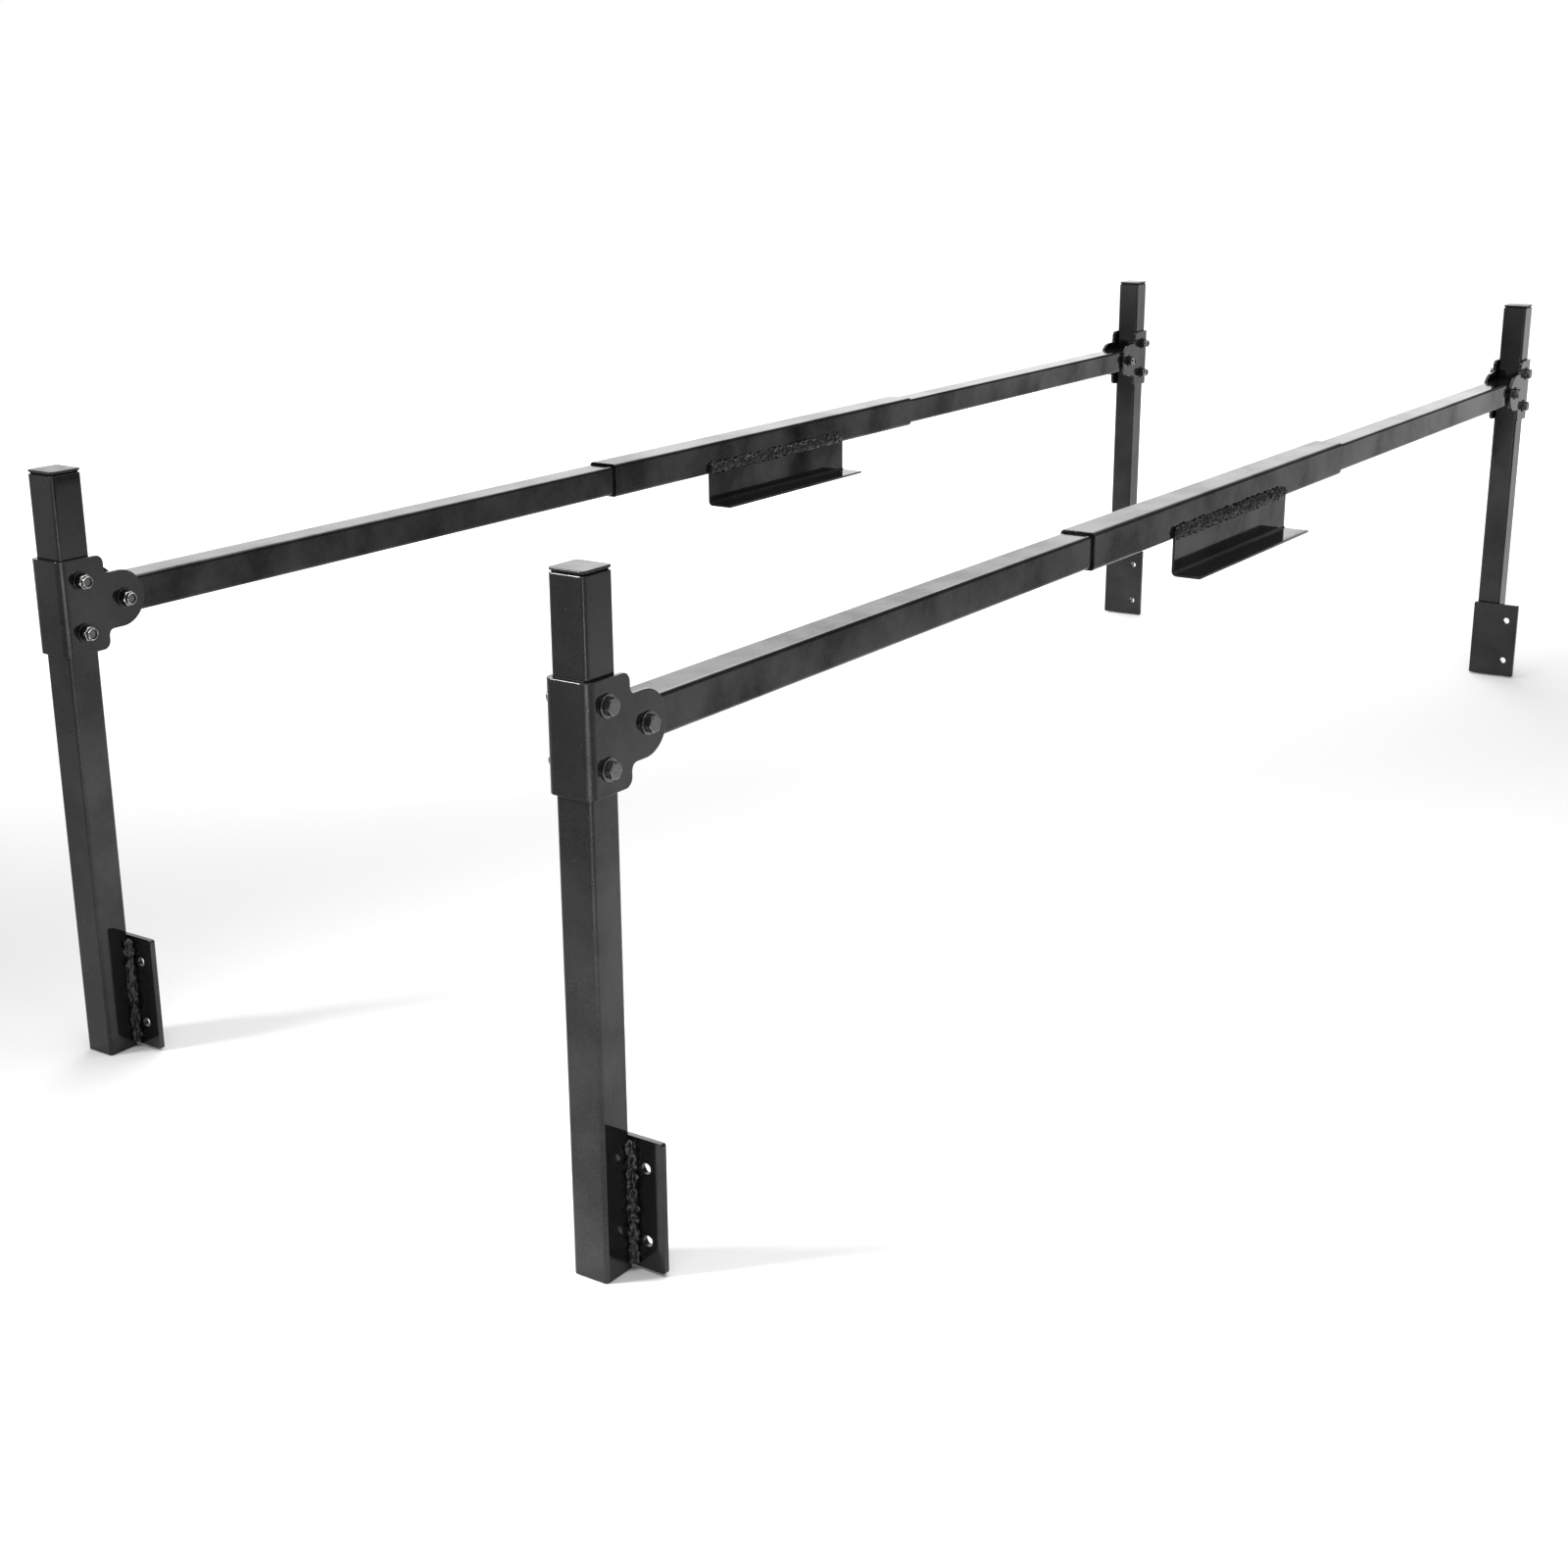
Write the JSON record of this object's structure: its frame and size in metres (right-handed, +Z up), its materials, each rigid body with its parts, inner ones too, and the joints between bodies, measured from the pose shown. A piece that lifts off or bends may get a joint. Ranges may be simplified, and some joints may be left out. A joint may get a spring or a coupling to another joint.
{
  "type": "ladder rack",
  "caption": "Trailer ladder rack: black square-tube crossbar frames with telescoping rails, folded clamp plates on pivot bolts, and bolt-on foot plates.",
  "frame": {"origin": "on the ground, at the centre of the box around both frames", "axes": "+X to the rear of the vehicle, so the front frame is at -X; +Y to the vehicle's right, along the rails; +Z up"},
  "size_m": [0.8474, 2.6492, 0.6397],
  "materials": {
    "powder_coat": "gloss black powder coat with fine orange peel",
    "weld_bead": "lumpy weld bead under the same gloss black powder coat",
    "cap_plastic": "moulded black polyethylene",
    "fastener_zinc": "black zinc plated steel, worn lighter on the edges"
  },
  "bodies": {
    "sleeves": {"rear_sleeve": "powder_coat", "rear_angle": "powder_coat", "rear_angle_weld": "weld_bead", "front_sleeve": "powder_coat", "front_angle": "powder_coat", "front_angle_weld": "weld_bead"},
    "rear_left_post": {"rear_left_post": "powder_coat", "rear_left_cap": "cap_plastic", "rear_left_clamp": "powder_coat", "rear_left_foot_plate": "powder_coat", "rear_left_foot_weld": "weld_bead", "rear_left_back_weld": "weld_bead", "rear_left_upper_bolt": "fastener_zinc", "rear_left_upper_nut": "fastener_zinc", "rear_left_lower_bolt": "fastener_zinc", "rear_left_lower_nut": "fastener_zinc", "rear_left_pivot_bolt": "fastener_zinc", "rear_left_pivot_nut": "fastener_zinc"},
    "rear_left_rail": {"rear_left_rail": "powder_coat"},
    "rear_right_post": {"rear_right_post": "powder_coat", "rear_right_cap": "cap_plastic", "rear_right_clamp": "powder_coat", "rear_right_foot_plate": "powder_coat", "rear_right_foot_weld": "weld_bead", "rear_right_back_weld": "weld_bead", "rear_right_upper_bolt": "fastener_zinc", "rear_right_upper_nut": "fastener_zinc", "rear_right_lower_bolt": "fastener_zinc", "rear_right_lower_nut": "fastener_zinc", "rear_right_pivot_bolt": "fastener_zinc", "rear_right_pivot_nut": "fastener_zinc"},
    "rear_right_rail": {"rear_right_rail": "powder_coat"},
    "front_left_post": {"front_left_post": "powder_coat", "front_left_cap": "cap_plastic", "front_left_clamp": "powder_coat", "front_left_foot_plate": "powder_coat", "front_left_foot_weld": "weld_bead", "front_left_back_weld": "weld_bead", "front_left_upper_bolt": "fastener_zinc", "front_left_upper_nut": "fastener_zinc", "front_left_lower_bolt": "fastener_zinc", "front_left_lower_nut": "fastener_zinc", "front_left_pivot_bolt": "fastener_zinc", "front_left_pivot_nut": "fastener_zinc"},
    "front_left_rail": {"front_left_rail": "powder_coat"},
    "front_right_post": {"front_right_post": "powder_coat", "front_right_cap": "cap_plastic", "front_right_clamp": "powder_coat", "front_right_foot_plate": "powder_coat", "front_right_foot_weld": "weld_bead", "front_right_back_weld": "weld_bead", "front_right_upper_bolt": "fastener_zinc", "front_right_upper_nut": "fastener_zinc", "front_right_lower_bolt": "fastener_zinc", "front_right_lower_nut": "fastener_zinc", "front_right_pivot_bolt": "fastener_zinc", "front_right_pivot_nut": "fastener_zinc"},
    "front_right_rail": {"front_right_rail": "powder_coat"}
  },
  "joints": [
    {"name": "rear_left_slide", "type": "slide", "parent": "sleeves", "child": "rear_left_rail", "axis": [0, -1, 0], "range_m": [-0.16, 0.05]},
    {"name": "rear_left_fold", "type": "hinge", "parent": "rear_left_rail", "child": "rear_left_post", "pos_m": [0.36256, -1.2465, 0.498], "axis": [1, 0, 0], "range_deg": [-10, 90]},
    {"name": "rear_right_slide", "type": "slide", "parent": "sleeves", "child": "rear_right_rail", "axis": [0, 1, 0], "range_m": [-0.16, 0.05]},
    {"name": "rear_right_fold", "type": "hinge", "parent": "rear_right_rail", "child": "rear_right_post", "pos_m": [0.36256, 1.1605, 0.498], "axis": [-1, 0, 0], "range_deg": [-10, 90]},
    {"name": "front_left_slide", "type": "slide", "parent": "sleeves", "child": "front_left_rail", "axis": [0, -1, 0], "range_m": [-0.16, 0.05]},
    {"name": "front_left_fold", "type": "hinge", "parent": "front_left_rail", "child": "front_left_post", "pos_m": [-0.39244, -1.1605, 0.498], "axis": [1, 0, 0], "range_deg": [-10, 90]},
    {"name": "front_right_slide", "type": "slide", "parent": "sleeves", "child": "front_right_rail", "axis": [0, 1, 0], "range_m": [-0.16, 0.05]},
    {"name": "front_right_fold", "type": "hinge", "parent": "front_right_rail", "child": "front_right_post", "pos_m": [-0.39244, 1.2465, 0.498], "axis": [-1, 0, 0], "range_deg": [-10, 90]}
  ]
}
